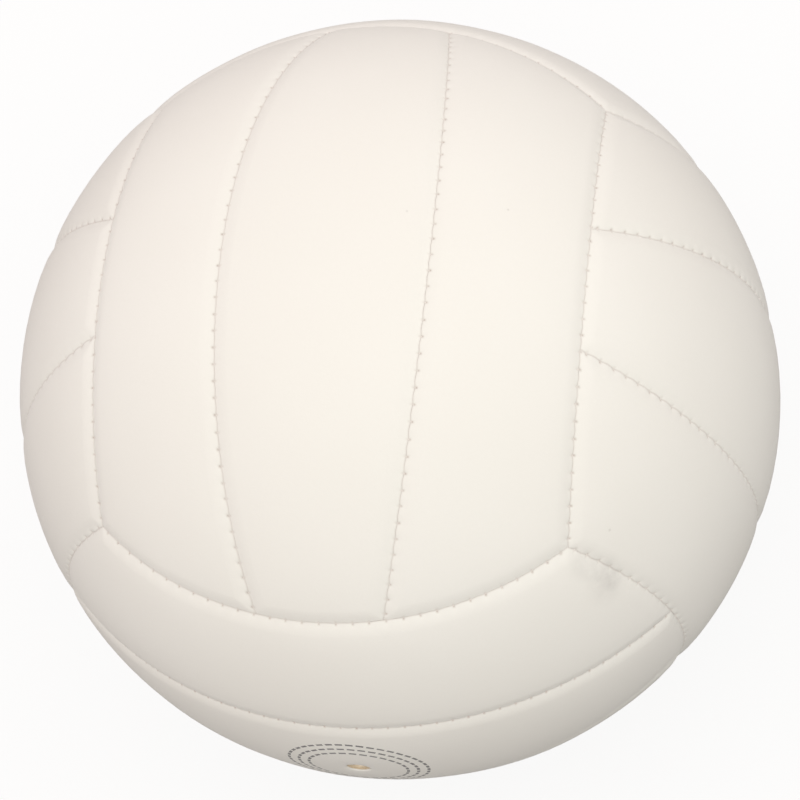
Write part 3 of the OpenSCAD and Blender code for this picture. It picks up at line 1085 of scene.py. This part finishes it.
def show_blend(tree, factor, first, second, output):
    """Sends a blend of two shaders to the output."""
    blend = add(tree, "ShaderNodeMixShader")
    for socket, value in zip(blend.inputs, (factor, first.outputs[0], second.outputs[0])):
        tree.links.new(value, socket)
    tree.links.new(blend.outputs[0], add(tree, output).inputs["Surface"])


bpy.ops.object.select_all(action="DESELECT")
bpy.ops.mesh.primitive_plane_add(size=FLOOR_SIZE, location=(0, 0, cad_box[0][2]))
floor = bpy.context.object
floor.name = "floor"
floor_paint = bpy.data.materials.new("studio_floor")
floor.data.materials.append(floor_paint)
tree = empty_tree(floor_paint)
seen = add(tree, "ShaderNodeLightPath").outputs["Is Camera Ray"]
matt = add(tree, "ShaderNodeBsdfDiffuse")
tree.links.new(mix(tree, seen, FLOOR_LIT, FLOOR_SEEN), matt.inputs["Color"])
lift = add(tree, "ShaderNodeEmission", Color=(1, 1, 1, 1), Strength=1.0)
show_blend(tree, math_node(tree, "MULTIPLY", seen, FLOOR_LIFT), matt, lift, "ShaderNodeOutputMaterial")
print("floor at", round(floor.location.z / MM, 2), "mm")

# %% World and lamps
ROOM_PINK, ROOM_STRENGTH = (1.0, 0.921, 0.882, 1), 1.07
# Place in metres, width in metres, power in watts and colour
LAMPS = {
    "right_box": ((0.9, 0.1, 0.7), 0.8, 1.15, (0.877, 1.0, 0.94)),
    "front_box": ((0.35, -0.75, 1.0), 0.5, 0.76, (0.47, 1.0, 0.68)),
}
world = bpy.data.worlds.new("studio")
bpy.context.scene.world = world
tree = empty_tree(world)
path = add(tree, "ShaderNodeLightPath")
seen = math_node(tree, "MAXIMUM", path.outputs["Is Glossy Ray"], path.outputs["Is Transmission Ray"])
seen = math_node(tree, "MAXIMUM", path.outputs["Is Camera Ray"], seen)
room = add(tree, "ShaderNodeBackground", Color=ROOM_PINK, Strength=ROOM_STRENGTH)
white = add(tree, "ShaderNodeBackground", Color=(1, 1, 1, 1), Strength=1.0)
show_blend(tree, seen, room, white, "ShaderNodeOutputWorld")
for name, (place, size, power, colour) in LAMPS.items():
    light = bpy.data.lights.new(name, "AREA")
    light.shape = "DISK"
    light.size = size
    light.energy = power
    light.color = colour
    lamp = bpy.data.objects.new(name, light)
    bpy.context.scene.collection.objects.link(lamp)
    lamp.location = place
    lamp.rotation_euler = (-Vector(place)).to_track_quat("-Z", "Y").to_euler()
    print(name, "shines on the ball from", round(Vector(place).length, 2), "m")

# %% [markdown]
# ## Camera
#
# The places where the seams cross in the photograph fit one direction only. It
# is written as two angles and a roll, which are easier to read and change than
# a matrix. The distance sets how far the camera sees round the ball, and the
# lens then follows from the size of the ball's outline in the picture.

# %% Camera at the photograph's angle
AZIMUTH, ELEVATION, ROLL = 31.0324, 66.1238, -26.9106   # in degrees, the azimuth from the front
CAMERA_RADII = 7.16        # from the ball's centre, in radii of the ball
OUTLINE_R, PICTURE_W = 380, 800     # pixels
camera = bpy.data.objects.new("camera", bpy.data.cameras.new("camera"))
bpy.context.scene.collection.objects.link(camera)
camera.data.lens = OUTLINE_R * math.sqrt(CAMERA_RADII ** 2 - 1) / PICTURE_W * camera.data.sensor_width
camera.data.clip_start = 0.01
camera.matrix_world = (Matrix.Rotation(math.radians(AZIMUTH), 4, "Z")
                       @ Matrix.Rotation(math.radians(90 - ELEVATION), 4, "X")
                       @ Matrix.Rotation(math.radians(ROLL), 4, "Z")
                       @ Matrix.Translation((0, 0, CAMERA_RADII * BALL_R)))
bpy.context.scene.camera = camera
bpy.context.scene.view_settings.view_transform = "Standard"
print("lens in mm:", round(camera.data.lens, 1), "camera at", [round(v, 3) for v in camera.location])
